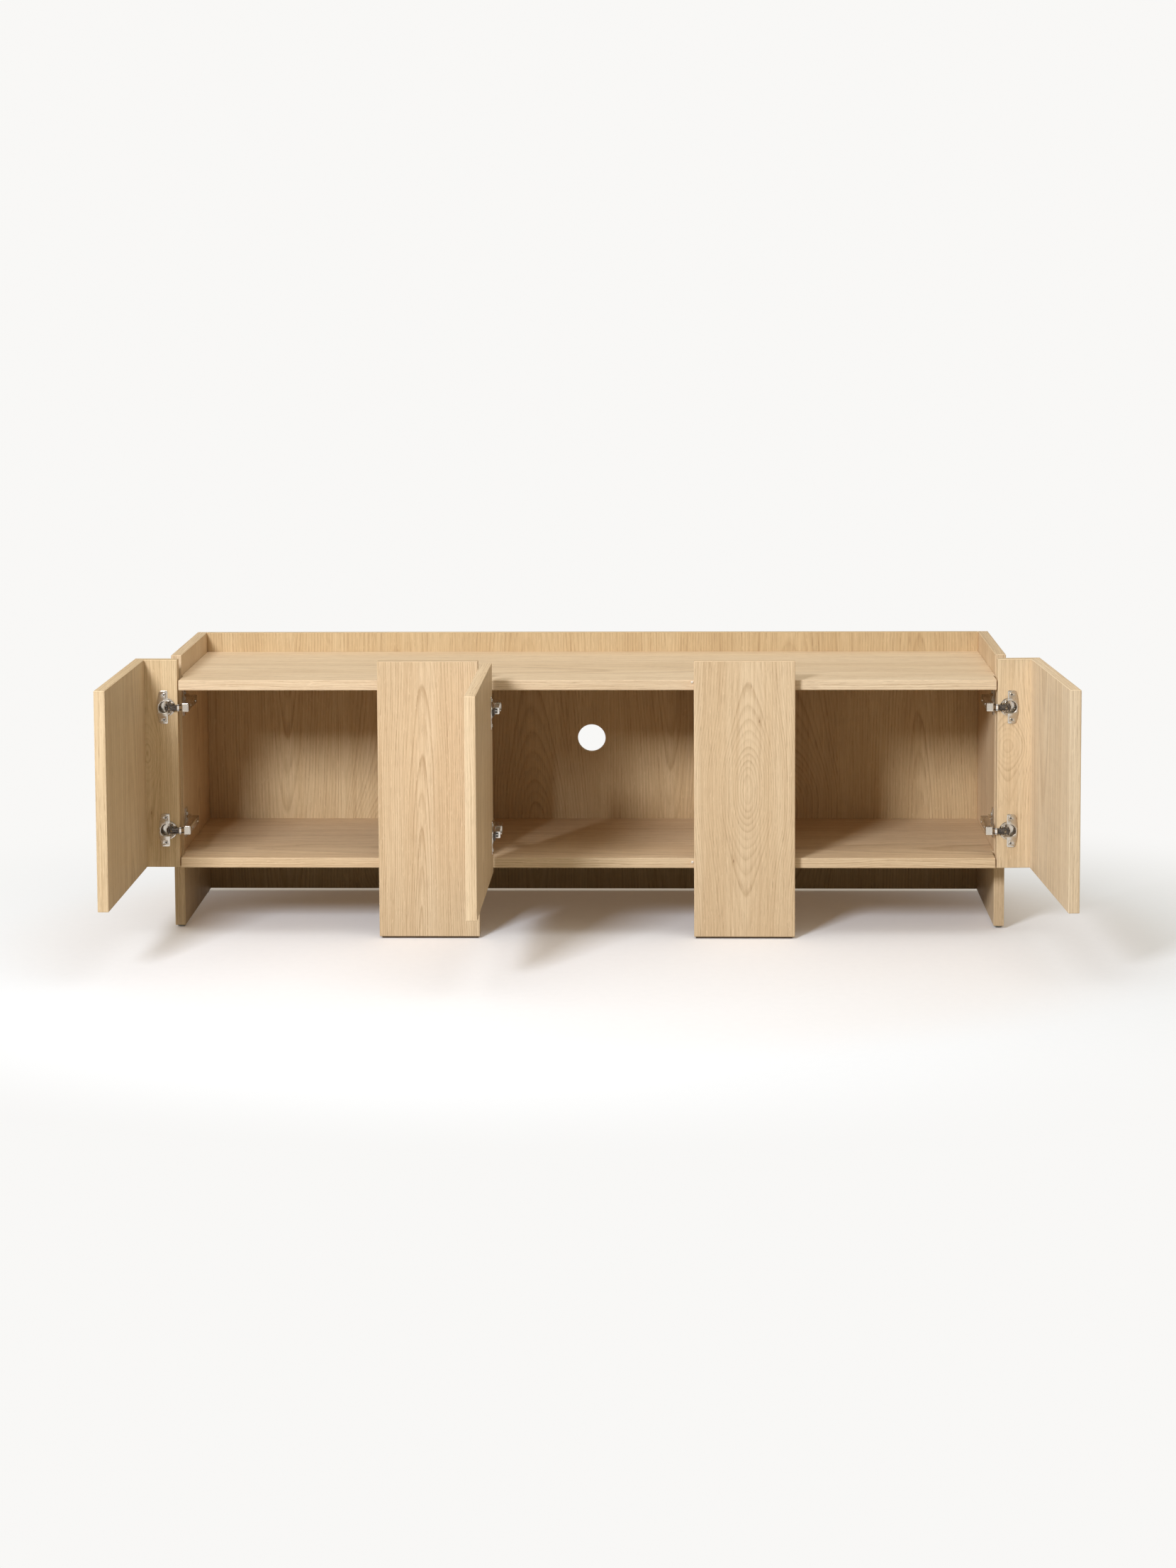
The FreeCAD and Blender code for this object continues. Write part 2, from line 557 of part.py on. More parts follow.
arms = [cranked_arm("middle_arm_" + level, height) for level, height, _ in LEVELS]
node("middle_hinge_arms", group("middle_arm_set", arms))
plates = [wing_plate("middle_plate_" + level, "-post_inner", height, None)
          for level, height, _ in LEVELS]
node("middle_mounting_plates", group("middle_plate_set", plates))
fixings = [plate_screws("middle_plate_screw_" + level, "-post_inner", height, None)
           for level, height, _ in LEVELS]
node("middle_plate_screws", group("middle_plate_screw_set", fixings))

# -------------------------------------------------------------------- export
doc.recompute()
faults = []
for obj in doc.Objects:
    if "Invalid" in obj.State or "Error" in obj.State:
        faults.append("%s is %s" % (obj.Name, obj.State))
    if hasattr(obj, "Shape") and not obj.isDerivedFrom("App::Origin"):
        bad_null = obj.Shape.isNull() and not obj.TypeId.startswith("App::")
        if bad_null or (not obj.Shape.isNull() and not obj.Shape.isValid()):
            faults.append(obj.Name + " has no valid shape")
if faults:
    raise RuntimeError("; ".join(faults[:20]))
os.makedirs("parts", exist_ok=True)
for obj in nodes:
    obj.Shape.exportStep("parts/%s.step" % obj.Label)
print("wrote", len(nodes), "nodes")
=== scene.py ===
"""Looks of the media cabinet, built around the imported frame.  Metres throughout."""

import json
import math

import bmesh
import bpy
from mathutils import Matrix, Vector


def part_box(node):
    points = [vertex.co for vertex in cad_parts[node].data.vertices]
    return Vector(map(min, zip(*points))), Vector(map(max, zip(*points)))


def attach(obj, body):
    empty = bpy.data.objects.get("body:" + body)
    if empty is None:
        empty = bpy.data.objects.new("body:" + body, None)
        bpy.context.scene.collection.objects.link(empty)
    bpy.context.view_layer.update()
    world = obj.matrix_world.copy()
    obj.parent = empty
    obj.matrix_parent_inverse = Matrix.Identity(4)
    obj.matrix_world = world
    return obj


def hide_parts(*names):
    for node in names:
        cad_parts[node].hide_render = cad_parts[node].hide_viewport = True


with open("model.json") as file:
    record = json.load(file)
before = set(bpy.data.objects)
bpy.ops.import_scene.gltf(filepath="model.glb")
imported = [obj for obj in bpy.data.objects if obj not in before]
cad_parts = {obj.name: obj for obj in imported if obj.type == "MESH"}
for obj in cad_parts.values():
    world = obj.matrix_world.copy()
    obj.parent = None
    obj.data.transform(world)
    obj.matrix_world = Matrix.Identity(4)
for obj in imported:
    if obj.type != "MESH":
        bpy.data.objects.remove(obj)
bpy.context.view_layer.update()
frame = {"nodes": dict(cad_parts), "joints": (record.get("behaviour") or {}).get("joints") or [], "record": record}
joints = {j["name"]: j for j in frame["joints"]}
MM = 0.001

# degrees that each door stands open at rest
LEFT_OPEN, RIGHT_OPEN, MIDDLE_OPEN = 90.5, 93.5, 90.75


# ------------------------------------------------------------ material tools
class Tree:
    """A material's node tree with short calls for making and linking nodes."""

    def __init__(self, name):
        self.mat = bpy.data.materials.new(name)
        self.mat.use_nodes = True
        self.nt = self.mat.node_tree
        self.nt.nodes.clear()
        self.out = self.nt.nodes.new("ShaderNodeOutputMaterial")
        self.bsdf = self.nt.nodes.new("ShaderNodeBsdfPrincipled")
        self.nt.links.new(self.bsdf.outputs[0], self.out.inputs[0])

    def add(self, kind, settings=None, **sockets):
        node = self.nt.nodes.new("ShaderNode" + kind)
        for key, value in (settings or {}).items():
            setattr(node, key, value)
        for key, value in sockets.items():
            self.put(node.inputs[key.replace("_", " ")], value)
        return node

    def put(self, socket, value):
        if isinstance(value, bpy.types.NodeSocket):
            self.nt.links.new(value, socket)
        else:
            socket.default_value = value

    def math(self, op, a, b=0.0, c=0.0):
        node = self.add("Math", {"operation": op})
        for socket, value in zip(node.inputs, (a, b, c)):
            self.put(socket, value)
        return node.outputs[0]

    def combine(self, x, y, z):
        return self.add("CombineXYZ", X=x, Y=y, Z=z).outputs[0]

    def noise(self, vector, scale, detail=2.0, rough=0.5, distortion=0.0):
        return self.add("TexNoise", Vector=vector, Scale=scale, Detail=detail,
                        Roughness=rough, Distortion=distortion).outputs[0]

    def span(self, value, low, high, to_low=0.0, to_high=1.0, smooth=True):
        node = self.add("MapRange", {"interpolation_type": "SMOOTHSTEP" if smooth else "LINEAR"},
                        Value=value)
        for key, v in (("From Min", low), ("From Max", high), ("To Min", to_low),
                       ("To Max", to_high)):
            node.inputs[key].default_value = v
        return node.outputs[0]

    def ramp(self, value, stops):
        node = self.add("ValToRGB", Fac=value)
        ramp = node.color_ramp
        while len(ramp.elements) < len(stops):
            ramp.elements.new(0.5)
        for element, (at, colour) in zip(ramp.elements, stops):
            element.position = at
            element.color = (*colour, 1.0)
        return node.outputs[0]

    def mix(self, factor, a, b, blend="MIX"):
        node = self.add("Mix", {"data_type": "RGBA", "blend_type": blend})
        self.put(node.inputs[0], factor)
        self.put(node.inputs[6], a if isinstance(a, bpy.types.NodeSocket) else (*a, 1.0))
        self.put(node.inputs[7], b if isinstance(b, bpy.types.NodeSocket) else (*b, 1.0))
        return node.outputs[2]

    def set(self, **sockets):
        for key, value in sockets.items():
            self.put(self.bsdf.inputs[key.replace("_", " ")], value)

    def bump(self, height, distance, strength=1.0):
        node = self.add("Bump", Height=height, Distance=distance, Strength=strength)
        self.put(self.bsdf.inputs["Normal"], node.outputs[0])


UPRIGHT = Matrix.Identity(3)                                 # grain along Z, face in XZ
SIDEWAYS = Matrix(((0, 1, 0), (-1, 0, 0), (0, 0, 1)))        # grain along Z, face in YZ
FLAT = Matrix(((0, 1, 0), (0, 0, 1), (1, 0, 0)))             # grain along X, face in XY


def about_z(degrees):
    return Matrix.Rotation(math.radians(degrees), 3, "Z")


OAK_LIGHT = (0.775, 0.600, 0.395)
OAK_MID = (0.700, 0.520, 0.325)
OAK_DARK = (0.455, 0.300, 0.165)
OAK_PORE = (0.330, 0.205, 0.110)


def oak(node, turn, figures, tone_and_painted_light=(1.0, 1.0, 1.0), seed=0, line=1.0,
        spacing=0.0042, eye=0.10, knots=()):
    """Clear-lacquered oak veneer on one CAD node.

    `turn` carries the cabinet's axes to the board's own: across, through, along the grain.
    Each figure is (across, along, depth, lean, curl, reach): a growth-ring axis at `across`
    running `depth` under the face, leaning by `lean` and dipping away by `curl` either side
    of `along`, most of it within `eye`; `reach` is how far to the side it rules the grain.
    Each knot is a pin knot at (across, along).
    """
    obj = frame["nodes"][node]
    local = [turn @ v.co for v in obj.data.vertices]
    low = Vector([min(p[i] for p in local) for i in range(3)])
    high = Vector([max(p[i] for p in local) for i in range(3)])
    middle, half = (low + high) / 2, (high - low) / 2
    t = Tree("oak_" + node)
    place = t.add("Mapping", {"vector_type": "POINT"},
                  Vector=t.add("TexCoord").outputs["Object"])
    place.inputs["Rotation"].default_value = turn.to_euler("XYZ")
    place.inputs["Location"].default_value = -middle
    at = t.add("SeparateXYZ", Vector=place.outputs[0]).outputs
    across, through, along = at[0], at[1], at[2]
    normal = t.add("TexCoord").outputs["Normal"]
    facing = []
    for row in (turn[1], turn[2]):
        dot = t.add("VectorMath", {"operation": "DOT_PRODUCT"})
        t.put(dot.inputs[0], normal)
        dot.inputs[1].default_value = row
        facing.append(t.math("ABSOLUTE", dot.outputs["Value"]))
    band = t.span(facing[0], 0.45, 0.75, 1.0, 0.0)      # edge banding on the narrow faces
    cap = t.span(facing[1], 0.55, 0.80)                 # banding that runs across the top

    def swap(a, b):
        return t.math("MULTIPLY_ADD", t.math("SUBTRACT", b, a), cap, a)

    side, run = swap(across, along), swap(along, across)

    # slow wander of the grain
    drift = t.noise(t.combine(t.math("MULTIPLY", across, 2.4), seed * 1.7,
                              t.math("MULTIPLY", along, 1.5)), 1.0, 2.0, 0.55)
    wave = t.noise(t.combine(t.math("MULTIPLY", across, 16.0), seed * 3.1,
                             t.math("MULTIPLY", along, 5.0)), 1.0, 2.0, 0.5)
    sway = t.math("ADD", t.math("MULTIPLY_ADD", drift, 0.040, -0.020),
                  t.math("MULTIPLY_ADD", wave, 0.008, -0.004))
    rings = None
    for centre, peak, depth, lean, curl, reach in figures:
        off = t.math("ADD", t.math("SUBTRACT", across, centre), sway)
        rise = t.math("SUBTRACT", along, peak)
        deep = t.math("MULTIPLY_ADD", rise, lean, depth)
        square = t.math("MULTIPLY", rise, rise)
        deep = t.math("MULTIPLY_ADD", t.math("DIVIDE", square, t.math("ADD", square, eye ** 2)),
                      curl, deep)
        deep = t.math("ADD", deep, t.math("ADD", through, half.y))
        deep = t.math("MULTIPLY_ADD", wave, 0.004, deep)
        radius = t.math("SQRT", t.math("ADD", t.math("MULTIPLY", off, off),
                                       t.math("MULTIPLY", deep, deep)))
        if rings is None:
            rings = radius
        else:
            near = t.span(t.math("ABSOLUTE", t.math("SUBTRACT", across, centre)),
                          reach * 0.7, reach, 1.0, 0.0)
            rings = t.math("ADD", t.math("MULTIPLY", radius, near),
                           t.math("MULTIPLY", rings, t.math("SUBTRACT", 1.0, near)))
    strip = t.noise(t.combine(t.math("MULTIPLY", side, 3.0), seed * 4.3,
                              t.math("MULTIPLY", run, 5.0)), 1.0, 1.0, 0.5)
    strip = t.math("MULTIPLY_ADD", strip, 0.016, t.math("MULTIPLY", through, 0.9))
    rings = t.math("MULTIPLY_ADD", t.math("SUBTRACT", strip, rings), band, rings)
    count = t.math("DIVIDE", rings, spacing)
    phase = t.math("FRACT", count)
    ring_no = t.math("FLOOR", count)
    odd = t.add("TexWhiteNoise", {"noise_dimensions": "1D"},
                W=t.math("ADD", ring_no, seed * 13.0)).outputs[0]
    late = t.ramp(phase, [(0.0, (0.30,) * 3), (0.14, (0.0,) * 3), (0.45, (0.10,) * 3),
                          (0.72, (0.62,) * 3), (0.90, (1.0,) * 3), (1.0, (0.30,) * 3)])
    late = t.math("MULTIPLY", late, t.math("MULTIPLY_ADD", odd, 0.90, 0.30))

    # open pores and fibres: fine dashes drawn out along the grain
    def drawn(wide, long, detail, rough):
        return t.noise(t.combine(t.math("MULTIPLY_ADD", side, wide, seed * 2.3),
                                 t.math("MULTIPLY", through, wide),
                                 t.math("MULTIPLY", run, long)), 1.0, detail, rough)

    pores = drawn(900.0, 34.0, 2.0, 0.6)
    fibre = drawn(330.0, 5.0, 3.0, 0.65)
    streak = drawn(24.0, 0.9, 2.0, 0.5)
    cloud = drawn(6.0, 2.5, 2.0, 0.5)
    fleck = drawn(420.0, 70.0, 1.0, 0.5)
    pore_mask = t.span(pores, 0.54, 0.66)
    # tone_and_painted_light scales the oak colours: on some boards it is the board's own tone, on others painted
    # light or painted shade for how the light falls on that face
    tinted = [tuple(c * k for c, k in zip(colour, tone_and_painted_light))
              for colour in (OAK_LIGHT, OAK_MID, OAK_DARK)]
    colour = t.mix(t.span(streak, 0.34, 0.68), tinted[0], tinted[1])
    colour = t.mix(t.span(cloud, 0.35, 0.75, 0.0, 0.35), colour, tinted[1])
    grained = t.math("MULTIPLY", late, t.math("MULTIPLY_ADD", fibre, 0.9, 0.35))
    colour = t.mix(t.math("MULTIPLY", grained, 0.66 * line), colour, tinted[2])
    colour = t.mix(t.span(fibre, 0.34, 0.72, 0.0, 0.40), colour, tinted[2])
    colour = t.mix(t.math("MULTIPLY", pore_mask, t.math("MULTIPLY_ADD", late, 0.30, 0.24)),
                   colour, OAK_PORE)
    # ray flecks catch the light as short pale marks
    colour = t.mix(t.span(fleck, 0.64, 0.74, 0.0, 0.30), colour,
                   tuple(min(1.0, c * 1.10) for c in tinted[0]))
    for knot_across, knot_along in knots:
        far = t.math("SQRT", t.math(
            "ADD", t.math("POWER", t.math("SUBTRACT", across, knot_across), 2.0),
            t.math("POWER", t.math("MULTIPLY_ADD", along, 0.32, -0.32 * knot_along), 2.0)))
        colour = t.mix(t.span(far, 0.0022, 0.0055, 0.35, 0.0), colour, tinted[2])
        colour = t.mix(t.span(far, 0.0005, 0.0016, 0.85, 0.0), colour, OAK_PORE)
    # distance to the nearest arris: a painted highlight lightens the eased edges and a glue line shows
    gaps = [t.math("SUBTRACT", size, t.math("ABSOLUTE", axis))
            for size, axis in zip(half, (across, through, along))]
    small, large = (t.math("MINIMUM", gaps[0], gaps[1]), t.math("MAXIMUM", gaps[0], gaps[1]))
    arris = t.math("MAXIMUM", small, t.math("MINIMUM", large, gaps[2]))
    # painted highlight: colour lightened within about a millimetre of every arris, as if light catches the eased
    # edge
    colour = t.mix(t.span(arris, 0.0004, 0.0014, 0.32, 0.0), colour,
                   tuple(min(1.0, c * 1.16) for c in tinted[0]))
    glue = t.math("MULTIPLY", t.span(arris, 0.0010, 0.0014), t.span(arris, 0.0016, 0.0021, 1, 0))
    colour = t.mix(t.math("MULTIPLY", glue, 0.30), colour, tinted[2])
    t.set(Base_Color=colour, IOR=1.46)
    rough = t.math("MULTIPLY_ADD", fibre, 0.16, 0.40)
    t.set(Roughness=t.math("MULTIPLY_ADD", pore_mask, 0.12, rough))
    t.bsdf.inputs["Specular IOR Level"].default_value = 0.24
    height = t.math("SUBTRACT", t.math("MULTIPLY", fibre, 0.35),
                    t.math("ADD", t.math("MULTIPLY", pore_mask, 0.6),
                           t.math("MULTIPLY", late, 0.25)))
    t.bump(height, 0.00022, 0.55)
    paint(obj, t.mat)
    return t.mat


def paint(obj, material):
    obj.data.materials.clear()
    obj.data.materials.append(material)


METAL_DIRT = (0.25, 0.20, 0.15)


def metal(name, colour, low, high):
    """Plated pressed steel: faint mottling, fine dirt and roughness from `low` to `high`."""
    t = Tree(name)
    where = t.add("TexCoord").outputs["Object"]
    cloud = t.noise(where, 260.0, 3.0, 0.6)
    fine = t.noise(where, 2600.0, 2.0, 0.6)
    shade = t.mix(t.span(cloud, 0.30, 0.75, 0.0, 0.20), colour,
                  tuple(c * k for c, k in zip(colour, (0.80, 0.77, 0.72))))
    shade = t.mix(t.span(fine, 0.66, 0.84, 0.0, 0.05), shade, METAL_DIRT)
    t.set(Base_Color=shade)
    t.bsdf.inputs["Metallic"].default_value = 1.0
    t.set(Roughness=t.span(cloud, 0.25, 0.8, low, high))
    t.bump(fine, 0.00001, 0.06)
    return t.mat


def plastic(name, colour, dark, low, high, scale=900.0):
    """Moulded plastic or felt: two tones, uneven gloss and a fine surface."""
    t = Tree(name)
    where = t.add("TexCoord").outputs["Object"]
    grain = t.noise(where, scale, 3.0, 0.65)
    t.set(Base_Color=t.mix(t.span(grain, 0.35, 0.7), colour, dark),
          Roughness=t.span(grain, 0.3, 0.7, low, high))
    t.bump(grain, 0.00008, 0.6)
    return t.mat


# ---------------------------------------------------------------------- oak
oak("front_post_left", UPRIGHT, [(-0.010, 0.10, 0.020, 0.060, 0.0, 0.2)], seed=1, line=1.25)
oak("front_post_right", UPRIGHT, [(0.006, 0.02, 0.006, 0.0, 0.052, 0.2)], seed=2,
    tone_and_painted_light=(1.02, 1.01, 1.0), line=0.85, knots=[(-0.021, -0.118), (0.028, 0.150)])
# back panel tone darker and warmer: partly the veneer's own colour, partly painted shade for the dim bays
oak("back_panel", UPRIGHT,
    [(-0.62, 0.10, 0.022, -0.07, 0.0, 0.15), (-0.40, -0.18, 0.012, 0.0, 0.08, 0.12),
     (-0.12, -0.12, 0.020, 0.06, 0.03, 0.16), (0.16, 0.0, 0.024, -0.08, 0.0, 0.15),
     (0.40, -0.10, 0.012, 0.02, 0.08, 0.14), (0.66, 0.05, 0.022, 0.07, 0.0, 0.15)],
    seed=3, tone_and_painted_light=(0.86, 0.84, 0.75), spacing=0.0056)
oak("side_panel_left", SIDEWAYS, [(0.02, 0.0, 0.10, 0.05, 0.0, 0.3)], seed=4)
oak("side_panel_right", SIDEWAYS, [(-0.03, 0.1, 0.12, -0.05, 0.0, 0.3)], seed=5)
oak("divider_left", SIDEWAYS, [(0.05, 0.0, 0.12, 0.04, 0.0, 0.3)], seed=6)
oak("divider_right", SIDEWAYS, [(-0.05, 0.0, 0.14, 0.03, 0.0, 0.3)], seed=7)
# top board tone lighter and paler: a painted sheen, the lacquer's reflection seen at a grazing angle
oak("top_board", FLAT, [(-0.06, 0.2, 0.30, 0.015, 0.0, 0.5)], seed=8,
    tone_and_painted_light=(1.06, 1.09, 1.15), line=0.75)
oak("bottom_board", FLAT, [(-0.10, -0.2, 0.26, -0.02, 0.0, 0.5)], seed=9)
oak("left_door_front", about_z(LEFT_OPEN), [(-0.03, 0.0, 0.30, 0.02, 0.0, 0.4)], seed=10,
    tone_and_painted_light=(0.98, 0.99, 0.97), line=0.85)
# right door front tone lighter and paler: painted light and sheen on its lit inner face
oak("right_door_front", about_z(-RIGHT_OPEN), [(0.05, 0.1, 0.26, -0.02, 0.0, 0.4)], seed=11,
    tone_and_painted_light=(1.16, 1.22, 1.32))
# left return tone darker and warmer: painted shade, as it stands in the left door's shadow
oak("left_door_return", about_z(LEFT_OPEN) @ SIDEWAYS,
    [(-0.014, 0.02, 0.004, 0.0, 0.022, 0.2)], seed=12, line=0.85, tone_and_painted_light=(0.94, 0.93, 0.86),
    spacing=0.0034, eye=0.042, knots=[(-0.012, -0.095)])
# right return tone lighter: painted light, as the key falls full on it
oak("right_door_return", about_z(-RIGHT_OPEN) @ SIDEWAYS,
    [(0.020, 0.035, 0.003, 0.0, 0.022, 0.2)], seed=13, line=0.80, tone_and_painted_light=(1.05, 1.08, 1.10),
    spacing=0.0034, eye=0.042, knots=[(0.004, -0.105)])
oak("middle_door", about_z(MIDDLE_OPEN), [(0.04, 0.0, 0.20, 0.03, 0.0, 0.4)], seed=14,
    tone_and_painted_light=(1.06, 1.07, 1.08))

# ----------------------------------------------------------------- hardware
nickel = metal("nickel", (0.68, 0.63, 0.56), 0.22, 0.29)
bright = metal("bright_nickel", (0.90, 0.87, 0.82), 0.28, 0.36)
dark_steel = metal("dark_steel", (0.13, 0.11, 0.095), 0.24, 0.38)
zinc = metal("zinc", (0.66, 0.63, 0.58), 0.24, 0.40)
# painted shade: near-black metal put in the screw recesses and behind the clip's slots, where there is only shade
recess_shade = metal("screw_recess", (0.10, 0.09, 0.08), 0.45, 0.60)
glide = plastic("grey_glide", (0.50, 0.54, 0.56), (0.40, 0.43, 0.45), 0.28, 0.45)
felt = plastic("brown_felt", (0.13, 0.085, 0.05), (0.06, 0.04, 0.025), 0.85, 0.98, 1500.0)
bumper = plastic("clear_bumper", (0.80, 0.77, 0.70), (0.62, 0.58, 0.50), 0.18, 0.32)


def finish_piece(name, bm, body, material, nodes=(), sharp=32):
    """Turn a bmesh into a named piece that rides on a body and stands for CAD nodes."""
    bmesh.ops.remove_doubles(bm, verts=bm.verts, dist=1e-6)
    bmesh.ops.recalc_face_normals(bm, faces=bm.faces)
    mesh = bpy.data.meshes.new(name)
    bm.to_mesh(mesh)
    bm.free()
    mesh.polygons.foreach_set("use_smooth", [True] * len(mesh.polygons))
    mesh.set_sharp_from_angle(angle=math.radians(sharp))
    obj = bpy.data.objects.new(name, mesh)
    bpy.context.scene.collection.objects.link(obj)
    paint(obj, material)
    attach(obj, body)
    if nodes:
        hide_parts(*nodes)
    return obj


def softened(node, width, material, segments=2):
    """A pressed or moulded part: the CAD shape with its arrises rounded over."""
    source = frame["nodes"][node]
    bm = bmesh.new()
    bm.from_mesh(source.data)
    bmesh.ops.remove_doubles(bm, verts=bm.verts, dist=1e-6)
    bmesh.ops.dissolve_limit(bm, angle_limit=math.radians(1.0), verts=bm.verts, edges=bm.edges)
    obj = finish_piece(node + "_formed", bm, body_of(node), material, (node,))
    rounding = obj.modifiers.new("rounding", "BEVEL")
    rounding.width, rounding.segments = width * MM, segments
    rounding.limit_method, rounding.angle_limit = "ANGLE", math.radians(38)
    rounding.use_clamp_overlap = True
    return obj


def body_of(node):
    return next(b for b, members in frame["record"]["behaviour"]["bodies"].items()
                if node in members)


def arc(cx, cy, radius, start, end, steps=12):
    return [(cx + radius * math.cos(math.radians(start + (end - start) * i / steps)),
             cy + radius * math.sin(math.radians(start + (end - start) * i / steps)))
            for i in range(steps + 1)]


def blank(bm, outlines, low, high, bevel=0.2):
    """Add a sheet blank, outer outline then holes in the YZ plane, from X = low to high."""
    curve = bpy.data.curves.new("blank", "CURVE")
    curve.dimensions, curve.fill_mode = "2D", "BOTH"
    curve.extrude = (high - low) / 2 - bevel
    curve.bevel_depth, curve.bevel_resolution, curve.offset = bevel, 1, -bevel
    for points in outlines:
        spline = curve.splines.new("POLY")
        spline.points.add(len(points) - 1)
        for point, (y, z) in zip(spline.points, points):
            point.co = (y, z, 0.0, 1.0)
        spline.use_cyclic_u = True
    holder = bpy.data.objects.new("blank", curve)
    mesh = bpy.data.meshes.new_from_object(holder)
    mesh.transform(Matrix(((0, 0, 1, (low + high) / 2), (1, 0, 0, 0), (0, 1, 0, 0),
                           (0, 0, 0, 1))))
    bm.from_mesh(mesh)
    bpy.data.objects.remove(holder)
    bpy.data.curves.remove(curve)
    bpy.data.meshes.remove(mesh)


def lofted(bm, loops):
    """Skin between loops of equal length and close both ends."""
    rings = [[bm.verts.new(p) for p in loop] for loop in loops]
    for one, two in zip(rings, rings[1:]):
        for i in range(len(one)):
            j = (i + 1) % len(one)
            bm.faces.new((one[i], one[j], two[j], two[i]))
    bm.faces.new(rings[0])
    bm.faces.new(rings[-1][::-1])


def turned(bm, profile, centre=(0.0, 0.0), steps=24):
    """Turned part about an X-wise axis through (y, z); the profile lists (x, radius)."""
    lofted(bm, [[(x, centre[0] + r * math.cos(2 * math.pi * i / steps),
                  centre[1] + r * math.sin(2 * math.pi * i / steps)) for i in range(steps)]
                for x, r in profile])


def cup_body(bm):
    """Hinge cup: two-eared flange, half-round rim, and a bowl with a rolled lip."""
    ears = ([(3.1, 13.0)] + arc(0.6, 29.2, 2.5, 0, 90, 5) + arc(-9.0, 27.2, 4.5, 90, 158, 6)
            + [(-14.9, 22.0), (-16.6, 14.0), (-17.6, 5.0), (-17.6, -5.0), (-16.6, -14.0),
               (-14.9, -22.0)]
            + arc(-9.0, -27.2, 4.5, 202, 270, 6) + arc(0.6, -29.2, 2.5, 270, 360, 5)
            + [(3.1, -13.0)])
    bowl = bowl_outline(1.0)
    holes = [arc(-4.0, z, 2.3, 0, 345, 23) for z in (24.0, -24.0)]
    blank(bm, [ears, [(min(y, 2.6), z) for y, z in bowl]] + holes, 0.0, 1.3)
    for way in (1, -1):
        lobe = [(2.4, 11.9 * way), (2.4, 17.2 * way)]
        lobe += [(y, z * way) for y, z in arc(0, 0, 17.35, 82, 29, 9)]
        lobe += [(9.0, 8.3 * way), (9.0, 11.9 * way)]
        blank(bm, [lobe], 0.0, 0.75, 0.15)
    steps = [(1.05, 1.10), (1.75, 1.085), (1.95, 1.05), (1.75, 1.015), (1.0, 1.0), (-4.5, 0.975),
             (-7.6, 0.93), (-9.3, 0.83), (-9.9, 0.62), (-10.0, 0.25)]
    outside = [(-10.9, 0.25), (-10.9, 1.02), (-1.0, 1.10)]
    lofted(bm, [[(x, y, z) for y, z in bowl_outline(k)] for x, k in outside + steps])
    turned(bm, [(-10.0, 1.9), (-9.7, 1.9), (-9.4, 1.4), (-9.4, 0.3)], (-3.0, 0.0), 14)


def bowl_outline(k):
    """Bowl mouth: half-round outer end, square shoulders, and a throat for the links."""
    mouth = (arc(-2.0, 0.0, 12.2, 110, 250, 16) + [(-2.0, -11.6), (5.4, -11.6)]
             + arc(5.4, -9.6, 2.0, 270, 360, 4) + [(7.8, -8.0), (14.6, -7.6), (14.6, 7.6),
                                                  (7.8, 8.0)]
             + arc(5.4, 9.6, 2.0, 0, 90, 4) + [(-2.0, 11.6)])
    return [(y * k if y < 8 else y * min(1.0, k), z * k) for y, z in mouth]


def cross_head(bm, x, y, z, radius, tall):
    """Screw head with a cross cut through it, rising from `x`."""
    a, b = radius * 0.17, radius * 0.62
    cross = [(a, a), (b, a), (b, -a), (a, -a), (a, -b), (-a, -b), (-a, -a), (-b, -a), (-b, a),
             (-a, a), (-a, b), (a, b)]
    rim = arc(0, 0, radius, 0, 345, 23)
    blank(bm, [[(y + u, z + v) for u, v in rim], [(y + u, z + v) for u, v in cross]],
          x, x + tall, min(0.35, tall * 0.3))


def recess_floor(bm, x, y, z, radius, tall):
    """Bottom of the cross in a screw head of the same size."""
    turned(bm, [(x + 0.05, radius * 0.75), (x + tall * 0.35, radius * 0.72)], (y, z), 20)


def shank(bm, x, y, z, radius, long):
    profile = [(x, radius)]
    thread = int(long / 1.6)
    for i in range(thread):
        at = x - 0.8 - i * 1.6
        profile += [(at, radius), (at - 0.4, radius * 0.78), (at - 0.8, radius * 0.78)]
    turned(bm, profile + [(x - long + 1.0, radius * 0.6), (x - long, 0.2)], (y, z), 14)


# the doors' frames at rest, from the pins that carry them
def pin_frame(joint, turn, px, py):
    at = Vector(joints[joint]["pos_m"])
    spin = Matrix.Rotation(math.radians(turn), 4, "Z")
    corner = Vector((at.x, at.y, 0.0)) - spin @ Vector((px, py, 0.0))
    return Matrix.Translation(corner) @ spin


